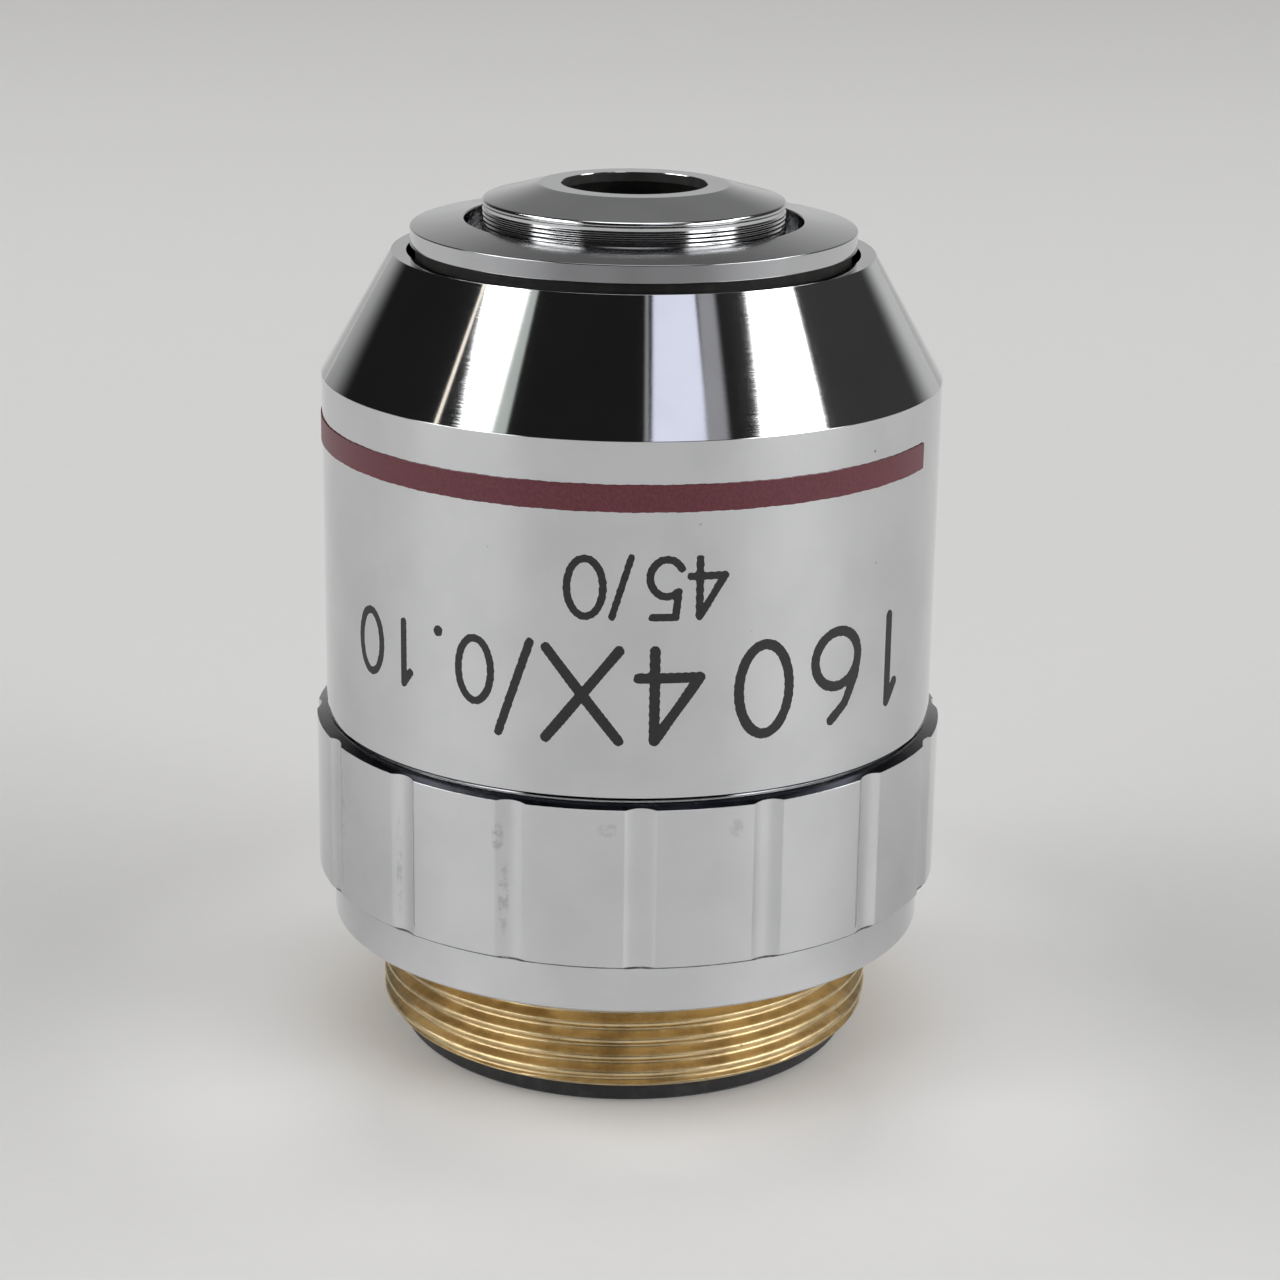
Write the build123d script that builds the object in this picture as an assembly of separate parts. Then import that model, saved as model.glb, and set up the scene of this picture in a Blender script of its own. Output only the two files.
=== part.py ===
from build123d import *
import math
import os

# Low-power, long-working-distance microscope objective, in millimetres.
# The origin is on the optical axis in the plane of the mounting shoulder.
# +Z runs along the axis towards the nose, and -Y is the side that carries the figures.

# Mounting thread: 20.32 mm nominal, 36 turns to the inch. The radii of the mount, barrel, sleeve
# and grip ring follow outwards and inwards from this one by their walls.
thread_major_r = 10.13
thread_length = 4.17
thread_end_chamfer = 0.35
thread_relief_width = 0.5
thread_relief_depth = 0.55
thread_wall = 1.13

# Thread mount above the shoulder plane
mount_wall = 2.45
mount_flange_width = 0.4
mount_flange_height = 1.6
mount_spigot_length = 10.4

# Grip ring
step_wall = 0.78
step_height = 2.05
grip_wall = 1.8
grip_height = 6.42
grip_bevel_width = 0.47
grip_bevel_height = 0.18
grip_edge_break = 0.1
flute_count = 16
flute_depth = 0.16
flute_cutter_r = 1.4
flute_azimuth = 2.5

# Outer sleeve
sleeve_foot_wall = 1.4
sleeve_wall = 0.84
sleeve_thread_length = 3.25
sleeve_foot_relief_width = 0.29
sleeve_foot_relief_height = 0.1
sleeve_mouth_land = 0.6
cone_half_angle = 30
sleeve_edge_break = 0.08

# Magnification band, printed on the sleeve, with its two ends apart
band_width = 1.05
band_below_cone = 1.59
band_thickness = 0.04
band_end_azimuth = 65.5
band_gap_angle = 24

# Front ring, the disc round the nose. The radii of the nose follow inwards from disc_r.
disc_r = 8.81
disc_overhang = 0.21
disc_rim_height = 0.71
disc_rise = 0.3
disc_groove_width = 0.71
disc_edge_break = 0.05
disc_lip_height = 0.59
skirt_wall = 0.56
skirt_length = 1.4
skirt_run_out = 0.2

# Nose cell
nose_flange_inset = 0.8
nose_flange_width = 1.22
nose_flange_height = 0.8
nose_flange_drop = 1.39
nose_stem_height = 2.13
nose_land_overhang = 0.03
nose_land_height = 0.23
nose_edge_break = 0.1
nose_slope_angle = 15.2
nose_face_width = 0.85
nose_hole_r = 2.87
nose_hole_bevel = 0.03
nose_lip_length = 0.35
nose_lens_wall = 0.96
nose_rear_margin = 1.4

# Lens barrel
barrel_wall = 1.01
barrel_front_wall = 2.41
barrel_flange_margin = 0.7
barrel_flange_height = 1.5
barrel_rear_inset = 0.07
parfocal_shim = 0.5

# Rear end ring, on which the objective stands
end_ring_overlap = 0.85
end_ring_height = 0.89
end_ring_wall = 0.76
end_ring_gap = 0.67
end_ring_edge_break = 0.12
end_slot_width = 1.2
end_slot_depth = 0.5
end_slot_land = 1.06

# Cell lock ring
lock_ring_height = 1.4
lock_ring_wall = 1.06
lock_slot_width = 1.0
lock_slot_depth = 0.5

# Glass, from the thread end to the nose: radii of the eight surfaces and distances between them.
# A positive radius has its centre on the nose side. The focus falls 45 mm above the shoulder.
rear_vertex_height = 1.2
rear_entry_radius = 66.5
rear_cement_radius = 15.5
middle_entry_radius = 23.43
middle_exit_radius = 67.0
front_entry_radius = 13.0
front_cement_radius = 11.1
front_exit_radius = 9.5
rear_flint_thickness = 1.6
rear_crown_thickness = 3.8
middle_gap = 1.4
middle_thickness = 2.6
front_gap = 10.6
front_crown_thickness = 3.2
front_flint_thickness = 2.0
front_rim_width = 0.4
cement_gap = 0.01

# Lens cells, retainers and stop
rear_cell_wall = 0.96
rear_cell_margin = 0.13
rear_lip_height = 0.35
lip_width = 0.7
air_spacer_height = 0.4
air_spacer_wall = 1.38
middle_cell_wall = 1.16
middle_cell_overhang = 0.4
retainer_height = 1.0
retainer_wall = 0.7
retainer_slot_width = 0.8
retainer_slot_depth = 0.4
stop_thickness = 0.3
stop_width = 2.88

# Clearances, all on the radius unless said otherwise
thread_fit = 0.04
slide_fit = 0.04
cell_fit = 0.02
lens_fit = 0.02
spigot_fit = 0.05
print_gap = 0.01
mouth_clearance = 0.14
disc_gap = 0.24
clamp_gap = 0.1
seat_gap = 0.01


def surface_z(vertex_z, radius, r):
    """Height of a spherical surface at distance r from the axis."""
    return vertex_z + radius - math.sqrt(radius**2 - r**2)


# Radii outwards from the mounting thread
relief_r = thread_major_r - thread_relief_depth
mount_bore_r = relief_r - thread_wall
mount_spigot_r = mount_bore_r + mount_wall
mount_flange_r = mount_spigot_r + mount_flange_width
grip_bore_r = mount_spigot_r + spigot_fit
grip_r = grip_bore_r + grip_wall
step_bore_r = mount_flange_r + spigot_fit
step_r = step_bore_r + step_wall
sleeve_foot_bore_r = mount_spigot_r + thread_fit
sleeve_r = sleeve_foot_bore_r + sleeve_foot_wall

# Radii inwards from the mounting thread
barrel_r = mount_bore_r - slide_fit
barrel_flange_r = mount_spigot_r - barrel_flange_margin
barrel_bore_r = barrel_r - barrel_wall
barrel_thread_fit_r = barrel_bore_r - thread_fit
cell_r = barrel_bore_r - cell_fit
rear_lens_r = cell_r - rear_cell_wall - lens_fit
middle_lens_r = cell_r - middle_cell_wall - lens_fit
end_ring_r = barrel_r + end_ring_overlap

# Radii of the front end, inwards from the disc
neck_r = disc_r - disc_overhang
skirt_bore_r = neck_r - skirt_wall
barrel_front_thread_r = skirt_bore_r - thread_fit
nose_flange_r = barrel_front_thread_r - nose_flange_inset
nose_stem_r = nose_flange_r - nose_flange_width
nose_land_r = nose_stem_r + nose_land_overhang
nose_bore_r = nose_stem_r + cell_fit
barrel_front_r = nose_bore_r + barrel_front_wall
disc_well_r = nose_stem_r + disc_groove_width
front_lens_r = nose_stem_r - nose_lens_wall - lens_fit
front_rim_r = front_lens_r - front_rim_width
mouth_r = disc_r + mouth_clearance
cone_top_r = mouth_r + sleeve_mouth_land

# Heights of the glass surfaces on the axis
rear_entry_z = rear_vertex_height
rear_cement_z = rear_entry_z + rear_flint_thickness
rear_exit_z = rear_cement_z + rear_crown_thickness
middle_entry_z = rear_exit_z + middle_gap
middle_exit_z = middle_entry_z + middle_thickness
front_entry_z = middle_exit_z + front_gap
front_cement_z = front_entry_z + front_crown_thickness
front_exit_z = front_cement_z + front_flint_thickness

# Heights along the stack of cells
rear_contact_z = surface_z(rear_entry_z, rear_entry_radius, rear_lens_r - retainer_wall) - seat_gap
rear_retainer_z = rear_contact_z - retainer_height
rear_cell_z = rear_retainer_z - rear_cell_margin
lock_ring_z = rear_cell_z - lock_ring_height
rear_cell_top_z = rear_exit_z + rear_lip_height
middle_cell_z = rear_cell_top_z + air_spacer_height
middle_edge_z = surface_z(middle_exit_z, middle_exit_radius, middle_lens_r)
middle_retainer_z = middle_edge_z + seat_gap
middle_cell_top_z = middle_retainer_z + retainer_height + middle_cell_overhang
stack_top_z = middle_cell_top_z + stop_thickness

# Heights of the front end
front_seat_z = surface_z(front_exit_z, front_exit_radius, front_rim_r)
barrel_front_z = front_seat_z - nose_flange_drop
nose_flange_top_z = barrel_front_z + nose_flange_height
nose_land_z = nose_flange_top_z + nose_stem_height
nose_rim_z = nose_land_z + nose_land_height
nose_rear_z = front_entry_z - nose_rear_margin
skirt_z = barrel_front_z - skirt_length
disc_underside_z = nose_flange_top_z + disc_lip_height
disc_rim_z = disc_underside_z + disc_rim_height
sleeve_top_z = disc_underside_z - disc_gap
cone_slope = math.tan(math.radians(cone_half_angle))
cone_base_z = sleeve_top_z - (sleeve_r - cone_top_r) / cone_slope

# Heights of the grip ring, mount and barrel ends
grip_edge_z = step_height + grip_height
grip_top_z = grip_edge_z + grip_bevel_height
mount_top_z = mount_flange_height + mount_spigot_length
barrel_flange_z = mount_top_z + parfocal_shim
barrel_rear_z = -thread_length + barrel_rear_inset


def turned(*outline):
    """Solid turned about the optical axis from a closed outline of (radius, height) points."""
    with BuildPart() as piece:
        with BuildSketch(Plane.XZ):
            with BuildLine():
                Polyline(*outline, close=True)
            make_face()
        revolve(axis=Axis.Z)
    return piece.part


def ring(outer_r, inner_r, low_z, high_z):
    """Plain turned ring."""
    return turned((inner_r, low_z), (outer_r, low_z), (outer_r, high_z), (inner_r, high_z))


def spanner_slots(piece, rear_z, width, depth, reach_r):
    """Cut two opposite slots for a pin spanner into the rear face of a ring, out to reach_r."""
    cutter = Pos(0, 0, rear_z + depth / 2) * Box(2 * reach_r, width, depth)
    return piece - cutter


def glass_surface(vertex_z, radius, r):
    """Half outline of one glass surface, from the axis to radius r, as the current line."""
    if radius is None:
        return Line((0, vertex_z), (r, vertex_z))
    mid_r = r / 2
    middle = (mid_r, surface_z(vertex_z, radius, mid_r))
    return ThreePointArc((0, vertex_z), middle, (r, surface_z(vertex_z, radius, r)))


def lens(low_z, low_radius, high_z, high_radius, edge_r, rim_width=0):
    """Lens between two surfaces; a radius of None is a flat, and the high side may have a flat rim."""
    with BuildPart() as piece:
        with BuildSketch(Plane.XZ):
            with BuildLine():
                low = glass_surface(low_z, low_radius, edge_r)
                high = glass_surface(high_z, high_radius, edge_r - rim_width)
                corner = (edge_r, (high @ 1).Y)
                Line(low @ 1, corner)
                if rim_width > 0:
                    Line(corner, high @ 1)
                Line(low @ 0, high @ 0)
            make_face()
        revolve(axis=Axis.Z)
    return piece.part


def thread_mount():
    """Brass mount: thread, flange under the grip ring, and spigot that the sleeve screws on to."""
    return turned(
        (mount_bore_r, -thread_length),
        (thread_major_r - thread_end_chamfer, -thread_length),
        (thread_major_r, -thread_length + thread_end_chamfer),
        (thread_major_r, -thread_relief_width),
        (relief_r, -thread_relief_width),
        (relief_r, 0),
        (mount_flange_r, 0),
        (mount_flange_r, mount_flange_height),
        (mount_spigot_r, mount_flange_height),
        (mount_spigot_r, mount_top_z),
        (mount_bore_r, mount_top_z),
    )


def grip_ring():
    """Grip ring with its lower step and the shallow flutes round its side."""
    body = turned(
        (step_bore_r, 0),
        (step_r - grip_edge_break, 0),
        (step_r, grip_edge_break),
        (step_r, step_height),
        (grip_r - grip_edge_break, step_height),
        (grip_r, step_height + grip_edge_break),
        (grip_r, grip_edge_z),
        (grip_r - grip_bevel_width, grip_top_z),
        (grip_bore_r, grip_top_z),
        (grip_bore_r, mount_flange_height),
        (step_bore_r, mount_flange_height),
    )
    cutter_distance = grip_r - flute_depth + flute_cutter_r
    cutter_height = grip_top_z - step_height
    cutter = Pos(cutter_distance, 0, step_height + cutter_height / 2) * Cylinder(flute_cutter_r, cutter_height)
    for index in range(flute_count):
        angle = flute_azimuth - 90 + index * 360 / flute_count
        body = body - Rot(0, 0, angle) * cutter
    return body


def outer_sleeve():
    """Chromed sleeve: threaded foot, straight wall, cone and mouth round the front ring."""
    bore_r = sleeve_r - sleeve_wall
    inner_cone_z = cone_base_z - sleeve_wall * math.tan(math.radians(cone_half_angle / 2))
    mouth_z = inner_cone_z + (bore_r - mouth_r) / cone_slope
    foot_top_z = grip_top_z + sleeve_thread_length
    foot_edge_r = sleeve_r - sleeve_foot_relief_width
    foot_edge_z = grip_top_z + sleeve_foot_relief_height
    return turned(
        (sleeve_foot_bore_r, grip_top_z),
        (foot_edge_r, grip_top_z),
        (foot_edge_r, foot_edge_z),
        (sleeve_r - sleeve_edge_break, foot_edge_z),
        (sleeve_r, foot_edge_z + sleeve_edge_break),
        (sleeve_r, cone_base_z),
        (cone_top_r + sleeve_edge_break * cone_slope, sleeve_top_z - sleeve_edge_break),
        (cone_top_r - sleeve_edge_break, sleeve_top_z),
        (mouth_r, sleeve_top_z),
        (mouth_r, mouth_z),
        (bore_r, inner_cone_z),
        (bore_r, foot_top_z),
        (sleeve_foot_bore_r, foot_top_z),
    )


def colour_band():
    """Printed band round the sleeve, open between its two ends."""
    inner_r = sleeve_r + print_gap
    outer_r = inner_r + band_thickness
    high_z = cone_base_z - band_below_cone
    low_z = high_z - band_width
    with BuildPart() as piece:
        with BuildSketch(Plane.XZ):
            with BuildLine():
                Polyline((inner_r, low_z), (outer_r, low_z), (outer_r, high_z), (inner_r, high_z), close=True)
            make_face()
        revolve(axis=Axis.Z, revolution_arc=360 - band_gap_angle)
    start_angle = band_end_azimuth + band_gap_angle - 90
    return Rot(0, 0, start_angle) * piece.part


def front_ring():
    """Front ring: the disc round the nose, its neck, and the skirt that screws on to the barrel."""
    flange_bore_r = nose_flange_r + spigot_fit
    thread_top_z = barrel_front_z + clamp_gap
    well_top_z = disc_rim_z + disc_rise
    return turned(
        (skirt_bore_r, skirt_z),
        (neck_r, skirt_z),
        (neck_r, disc_underside_z),
        (disc_r, disc_underside_z),
        (disc_r, disc_rim_z - disc_edge_break),
        (disc_r - disc_edge_break, disc_rim_z),
        (disc_well_r + disc_edge_break, well_top_z),
        (disc_well_r, well_top_z - disc_edge_break),
        (disc_well_r, nose_flange_top_z),
        (flange_bore_r, nose_flange_top_z),
        (flange_bore_r, thread_top_z),
        (skirt_bore_r, thread_top_z),
    )


def nose_cell():
    """Nose: flat face with the light hole, slope, land, stem, clamped flange and lens bore."""
    lens_bore_r = front_lens_r + lens_fit
    slope = math.tan(math.radians(nose_slope_angle))
    face_inner_r = nose_hole_r + nose_hole_bevel
    face_outer_r = face_inner_r + nose_face_width
    face_z = nose_rim_z + (nose_land_r - face_outer_r) * slope
    hole_top_z = face_z - nose_hole_bevel
    return turned(
        (lens_bore_r, nose_rear_z),
        (nose_stem_r, nose_rear_z),
        (nose_stem_r, barrel_front_z),
        (nose_flange_r, barrel_front_z),
        (nose_flange_r, nose_flange_top_z),
        (nose_stem_r, nose_flange_top_z),
        (nose_stem_r, nose_land_z),
        (nose_land_r, nose_land_z),
        (nose_land_r, nose_rim_z - nose_edge_break),
        (nose_land_r - nose_edge_break, nose_rim_z + nose_edge_break * slope),
        (face_outer_r, face_z),
        (face_inner_r, face_z),
        (nose_hole_r, hole_top_z),
        (nose_hole_r, hole_top_z - nose_lip_length),
        (front_rim_r, front_seat_z),
        (lens_bore_r, front_seat_z),
    )


def lens_barrel():
    """Blackened tube that carries the cells and is clamped by its flange to the mount."""
    return turned(
        (barrel_bore_r, barrel_rear_z),
        (barrel_r, barrel_rear_z),
        (barrel_r, barrel_flange_z),
        (barrel_flange_r, barrel_flange_z),
        (barrel_flange_r, barrel_flange_z + barrel_flange_height),
        (barrel_front_r, barrel_flange_z + barrel_flange_height),
        (barrel_front_r, skirt_z - skirt_run_out),
        (barrel_front_thread_r, skirt_z - skirt_run_out),
        (barrel_front_thread_r, barrel_front_z),
        (nose_bore_r, barrel_front_z),
        (nose_bore_r, stack_top_z),
        (barrel_bore_r, stack_top_z),
    )


def parfocal_spacer():
    """Shim ring between the mount and the barrel's flange."""
    return ring(barrel_flange_r, mount_bore_r, mount_top_z, barrel_flange_z)


def rear_end_ring():
    """Black ring that clamps the barrel into the mount, with slots inside its rear face."""
    bore_r = barrel_thread_fit_r - end_ring_wall
    spigot_top_z = lock_ring_z - end_ring_gap
    rear_z = -thread_length - end_ring_height
    body = turned(
        (bore_r, rear_z),
        (end_ring_r - end_ring_edge_break, rear_z),
        (end_ring_r, rear_z + end_ring_edge_break),
        (end_ring_r, -thread_length),
        (barrel_thread_fit_r, -thread_length),
        (barrel_thread_fit_r, spigot_top_z),
        (bore_r, spigot_top_z),
    )
    return spanner_slots(body, rear_z, end_slot_width, end_slot_depth, end_ring_r - end_slot_land)


def cell_lock_ring():
    """Threaded ring that presses the stack of cells against the barrel's inner shoulder."""
    bore_r = barrel_thread_fit_r - lock_ring_wall
    body = ring(barrel_thread_fit_r, bore_r, lock_ring_z, rear_cell_z)
    return spanner_slots(body, lock_ring_z, lock_slot_width, lock_slot_depth, barrel_bore_r)


def rear_cell():
    """Cell of the rear cemented pair, with a lip at its nose end."""
    bore_r = rear_lens_r + lens_fit
    lip_r = rear_lens_r - lip_width
    return turned(
        (bore_r, rear_cell_z),
        (cell_r, rear_cell_z),
        (cell_r, rear_cell_top_z),
        (lip_r, rear_cell_top_z),
        (lip_r, rear_exit_z),
        (bore_r, rear_exit_z),
    )


def middle_cell():
    """Cell of the middle lens, with a lip at its thread end."""
    bore_r = middle_lens_r + lens_fit
    lip_r = middle_lens_r - lip_width
    seat_z = surface_z(middle_entry_z, middle_entry_radius, lip_r) - seat_gap
    return turned(
        (lip_r, middle_cell_z),
        (cell_r, middle_cell_z),
        (cell_r, middle_cell_top_z),
        (bore_r, middle_cell_top_z),
        (bore_r, seat_z),
        (lip_r, seat_z),
    )


def air_gap_spacer():
    """Ring that sets the air gap between the rear and middle cells."""
    return ring(cell_r, cell_r - air_spacer_wall, rear_cell_top_z, middle_cell_z)


def aperture_stop():
    """Thin black disc with the hole that limits the light cone."""
    return ring(cell_r, cell_r - stop_width, middle_cell_top_z, stack_top_z)


def lens_retainer(outer_r, low_z, high_z):
    """Threaded ring that holds a lens in its cell, with spanner slots on its outer face."""
    inner_r = outer_r - retainer_wall
    body = ring(outer_r, inner_r, low_z, high_z)
    return spanner_slots(body, low_z, retainer_slot_width, retainer_slot_depth, outer_r + lens_fit)


def rear_lens_retainer():
    """Retainer behind the rear cemented pair."""
    return lens_retainer(rear_lens_r, rear_retainer_z, rear_contact_z)


def middle_lens_retainer():
    """Retainer in front of the middle lens; its slots face the nose."""
    ring_low = lens_retainer(middle_lens_r, -retainer_height, 0)
    return Pos(0, 0, middle_retainer_z) * Rot(180, 0, 0) * ring_low


def front_lens_retainer():
    """Retainer behind the front cemented pair."""
    contact_r = front_lens_r - retainer_wall
    contact_z = surface_z(front_entry_z, front_entry_radius, contact_r) - seat_gap
    return lens_retainer(front_lens_r, contact_z - retainer_height, contact_z)


def rear_flint_lens():
    """Weak hollow lens of the rear pair."""
    return lens(rear_entry_z, rear_entry_radius, rear_cement_z, rear_cement_radius, rear_lens_r)


def rear_crown_lens():
    """Strong lens of the rear pair, flat on its nose side."""
    return lens(rear_cement_z + cement_gap, rear_cement_radius, rear_exit_z, None, rear_lens_r)


def middle_lens():
    """Single lens behind the stop."""
    return lens(middle_entry_z, middle_entry_radius, middle_exit_z, middle_exit_radius, middle_lens_r)


def front_crown_lens():
    """Rear half of the thick front pair."""
    high_z = front_cement_z - cement_gap
    return lens(front_entry_z, front_entry_radius, high_z, front_cement_radius, front_lens_r)


def front_flint_lens():
    """Front half of the thick front pair, hollow towards the object, with a flat rim."""
    return lens(
        front_cement_z, front_cement_radius, front_exit_z, front_exit_radius, front_lens_r, front_rim_width
    )


pieces = [
    outer_sleeve,
    colour_band,
    grip_ring,
    thread_mount,
    rear_end_ring,
    front_ring,
    nose_cell,
    lens_barrel,
    parfocal_spacer,
    cell_lock_ring,
    rear_cell,
    rear_flint_lens,
    rear_crown_lens,
    rear_lens_retainer,
    air_gap_spacer,
    middle_cell,
    middle_lens,
    middle_lens_retainer,
    aperture_stop,
    front_crown_lens,
    front_flint_lens,
    front_lens_retainer,
]

os.makedirs("parts", exist_ok=True)
for make_piece in pieces:
    export_step(make_piece(), f"parts/{make_piece.__name__}.step")
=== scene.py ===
"""Looks of a chromed microscope objective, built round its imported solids."""

import math

import bpy
import numpy as np
from mathutils import Matrix, Vector


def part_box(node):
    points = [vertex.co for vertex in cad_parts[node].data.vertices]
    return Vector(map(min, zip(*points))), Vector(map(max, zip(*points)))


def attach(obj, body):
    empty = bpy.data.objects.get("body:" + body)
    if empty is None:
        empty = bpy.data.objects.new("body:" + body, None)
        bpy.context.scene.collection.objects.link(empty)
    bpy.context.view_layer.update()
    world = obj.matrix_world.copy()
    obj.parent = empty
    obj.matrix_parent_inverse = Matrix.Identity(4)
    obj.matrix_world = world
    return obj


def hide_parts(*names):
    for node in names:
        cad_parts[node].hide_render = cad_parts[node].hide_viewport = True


bl_info = {
    "name": "Microscope objective looks",
    "version": (1, 0, 0),
    "blender": (4, 5, 0),
    "location": "3D View > Sidebar > Objective",
    "description": "Builds the visible metal, ink and glass of a low-power objective",
    "category": "Object",
}

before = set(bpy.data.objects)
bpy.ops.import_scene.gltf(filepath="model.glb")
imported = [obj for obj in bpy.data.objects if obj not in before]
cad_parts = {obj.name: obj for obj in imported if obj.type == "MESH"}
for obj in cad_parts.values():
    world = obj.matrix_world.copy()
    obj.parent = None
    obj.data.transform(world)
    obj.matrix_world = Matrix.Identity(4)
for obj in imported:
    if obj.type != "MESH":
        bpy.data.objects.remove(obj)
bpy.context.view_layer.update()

MM = 0.001
FULL_TURN = 2 * math.pi


def reach(node):
    """Outer radius, lowest height and highest height of a solid, in millimetres."""
    low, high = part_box(node)
    return high[0] / MM, low[2] / MM, high[2] / MM


sleeve_r, sleeve_low, sleeve_high = reach("outer_sleeve")
grip_r, grip_low, grip_high = reach("grip_ring")
_, thread_low, thread_high = reach("thread_mount")
_, end_ring_low, _ = reach("rear_end_ring")
disc_r, disc_low, disc_high = reach("front_ring")
nose_r, nose_low, nose_high = reach("nose_cell")
band_r, band_low, band_high = reach("colour_band")


# Settings that a user would change


def length(name, description, default):
    """Length property whose default is given in millimetres."""
    kind = {"min": 0.0, "precision": 5, "subtype": "DISTANCE", "unit": "LENGTH"}
    return bpy.props.FloatProperty(name=name, description=description, default=default * MM, **kind)


def colour(name, description, default):
    """Colour property."""
    return bpy.props.FloatVectorProperty(
        name=name, description=description, default=default, min=0.0, max=1.0, size=3, subtype="COLOR"
    )


def share(name, description, default):
    """Property from 0 to 1."""
    return bpy.props.FloatProperty(
        name=name, description=description, default=default, min=0.0, max=1.0, subtype="FACTOR"
    )


def number(name, description, default, least=0.0):
    """Plain number with a least value."""
    return bpy.props.FloatProperty(name=name, description=description, default=default, min=least)


def angle(name, description, default):
    """Angle property whose default is given in degrees."""
    return bpy.props.FloatProperty(
        name=name, description=description, default=math.radians(default), subtype="ANGLE", unit="ROTATION"
    )


class StageSettings(bpy.types.PropertyGroup):
    """Floor, room and lamps."""

    floor_colour: colour("Floor", "Colour of the paper near the objective", (0.7, 0.695, 0.687))
    # The far floor colour is painted shade that darkens the paper away from the objective.
    far_shade_colour: colour("Far floor", "Colour of the paper where it runs out of focus", (0.55, 0.545, 0.535))
    wall_brightness: number("Wall", "Brightness of the pale wall round the table", 0.6)
    room_brightness: number("Room", "Brightness of the dim room above the wall", 0.014)
    lamp_brightness: number("Side lamps", "Brightness of the two soft lamps", 6.0)
    fill_brightness: number("Low fill", "Brightness of the low fill lights at the two sides", 5.0)
    ceiling_brightness: number("Ceiling", "Brightness of the soft light overhead", 2.2)


class ChromeSettings(bpy.types.PropertyGroup):
    """Chromed sleeve, grip ring and front pieces."""

    chrome_colour: colour("Chrome", "Colour of the plated sleeve", (0.665, 0.67, 0.68))
    satin_colour: colour("Satin chrome", "Colour of the nose and the front ring", (0.62, 0.625, 0.635))
    polish: share("Roughness", "Roughness of the polished chrome", 0.05)
    satin: share("Satin roughness", "Roughness of the nose and the front ring", 0.1)
    sleeve_wall: length("Sleeve wall", "Wall of the straight part of the sleeve", 0.84)
    cone_height: length("Cone height", "Height of the polished cone", 4.832)
    cone_angle: angle("Cone angle", "Slope of the cone against the axis", 30.0)
    edge_radius: length("Edge radius", "Rounding of the machined edges", 0.03)


class GripSettings(bpy.types.PropertyGroup):
    """Grip ring and its flutes."""

    flute_count: bpy.props.IntProperty(
        name="Flutes", description="Number of shallow flutes", default=16, min=3
    )
    flute_depth: length("Flute depth", "Depth of a flute at its middle", 0.16)
    flute_cutter: length("Flute cutter", "Radius of the cutter that makes a flute", 1.4)
    flute_azimuth: angle("First flute", "Azimuth of the first flute from the figure side", 2.5)
    step_radius: length("Step radius", "Radius of the step under the grip", 12.13)
    step_height: length("Step height", "Height of the step under the grip", 2.05)


class ThreadSettings(bpy.types.PropertyGroup):
    """Brass mounting thread and the black end ring."""

    brass_colour: colour("Brass", "Colour of the bare brass", (0.74, 0.58, 0.33))
    thread_radius: length("Thread radius", "Outer radius of the thread", 10.13)
    pitch: length("Pitch", "Distance from crest to crest, 36 to the inch", 25.4 / 36)
    depth: length("Thread depth", "Depth from crest to root", 0.42)
    start_angle: angle("Thread start", "Azimuth at which a crest crosses the shoulder plane", 0.0)
    black_colour: colour("Black ring", "Colour of the anodised end ring", (0.024, 0.024, 0.026))


class FigureSettings(bpy.types.PropertyGroup):
    """Printed band and inked figures."""

    band_colour: colour("Band", "Colour of the magnification band", (0.1, 0.017, 0.025))
    ink_colour: colour("Ink", "Colour of the filled figures", (0.012, 0.012, 0.014))
    cap_height: length("Figure height", "Height of the large figures", 3.5)
    stroke: length("Stroke", "Width of a large figure's stroke", 0.4)
    ink_height: length("Ink height", "How far the ink stands above the sleeve", 0.008)


class GlassSettings(bpy.types.PropertyGroup):
    """Lenses and the blackened inner pieces."""

    coating_colour: colour("Coating", "Tint of the coated glass", (0.93, 0.97, 1.0))
    black_colour: colour("Blackening", "Colour of the blackened brass inside", (0.02, 0.019, 0.018))
    crown_index: number("Crown index", "Refractive index of the crown glass", 1.62, 1.0)
    flint_index: number("Flint index", "Refractive index of the flint glass", 1.648, 1.0)


# Outlines and lathe work


def fixed(values, count):
    """A value, or one value per column, as one value per column."""
    return np.broadcast_to(np.asarray(values, dtype=float), (count,))


def unit(vector):
    """Vector of length 1."""
    return vector / np.linalg.norm(vector)


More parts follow.
